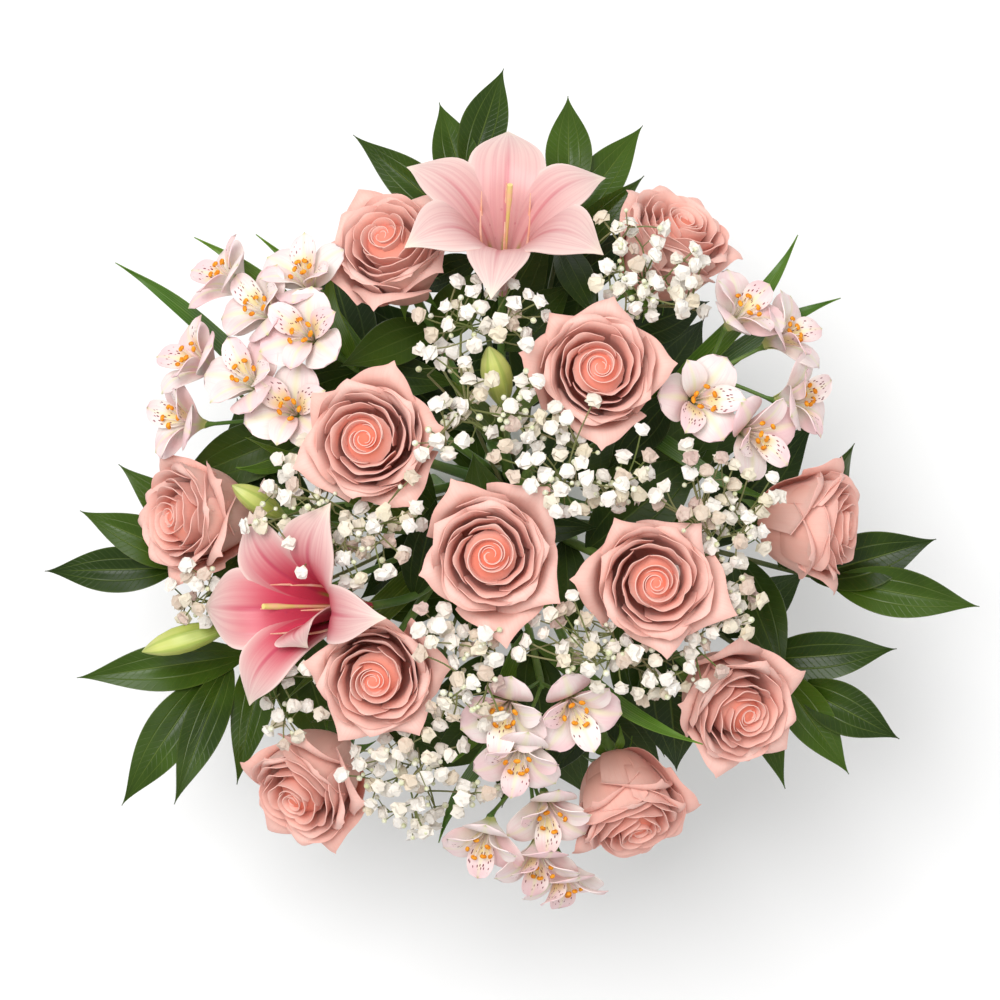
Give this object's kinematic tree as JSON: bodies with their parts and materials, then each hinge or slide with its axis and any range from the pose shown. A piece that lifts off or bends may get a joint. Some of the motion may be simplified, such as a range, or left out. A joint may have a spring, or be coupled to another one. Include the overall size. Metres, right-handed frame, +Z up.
{
  "type": "rose bouquet",
  "caption": "Hand-tied round bouquet of coral roses, pink lilies, alstroemeria, baby's breath and dark leaves, standing on its cut spiral stems.",
  "frame": {"origin": "middle of the bouquet's box, on the surface that the cut stem ends stand on", "axes": "+Z up along the bound stems towards the flowers; seen from above with +Y at the top, +X is on the right"},
  "size_m": [0.5262, 0.473, 0.3791],
  "materials": {
    "rose": "soft matt petal",
    "lily": "soft waxy petal",
    "alstroemeria": "soft waxy petal",
    "breath": "matt floret",
    "stem": "satin green stem and leaf",
    "dark": "glossy dark leaf",
    "twine": "rough natural twine"
  },
  "bodies": {
    "root": {"alstroemeria_a": "alstroemeria", "alstroemeria_a_stem": "stem", "alstroemeria_b": "alstroemeria", "alstroemeria_b_stem": "stem", "alstroemeria_c": "alstroemeria", "alstroemeria_c_stem": "stem", "alstroemeria_d": "alstroemeria", "alstroemeria_d_stem": "stem", "alstroemeria_e": "alstroemeria", "alstroemeria_e_stem": "stem", "branch_a": "dark", "branch_b": "dark", "branch_c": "dark", "branch_d": "dark", "branch_e": "dark", "branch_f": "dark", "branch_g": "dark", "breath_a": "breath", "breath_b": "breath", "breath_c": "breath", "breath_d": "breath", "breath_e": "breath", "breath_f": "breath", "breath_g": "breath", "breath_h": "breath", "breath_i": "breath", "lily_a": "lily", "lily_a_stem": "stem", "lily_b": "lily", "lily_b_stem": "stem", "rose_a": "rose", "rose_a_stem": "stem", "rose_b": "rose", "rose_b_stem": "stem", "rose_c": "rose", "rose_c_stem": "stem", "rose_d": "rose", "rose_d_stem": "stem", "rose_e": "rose", "rose_e_stem": "stem", "rose_f": "rose", "rose_f_stem": "stem", "rose_g": "rose", "rose_g_stem": "stem", "rose_h": "rose", "rose_h_stem": "stem", "rose_i": "rose", "rose_i_stem": "stem", "rose_j": "rose", "rose_j_stem": "stem", "rose_k": "rose", "rose_k_stem": "stem", "rose_l": "rose", "rose_l_stem": "stem", "tie": "twine"}
  },
  "joints": []
}
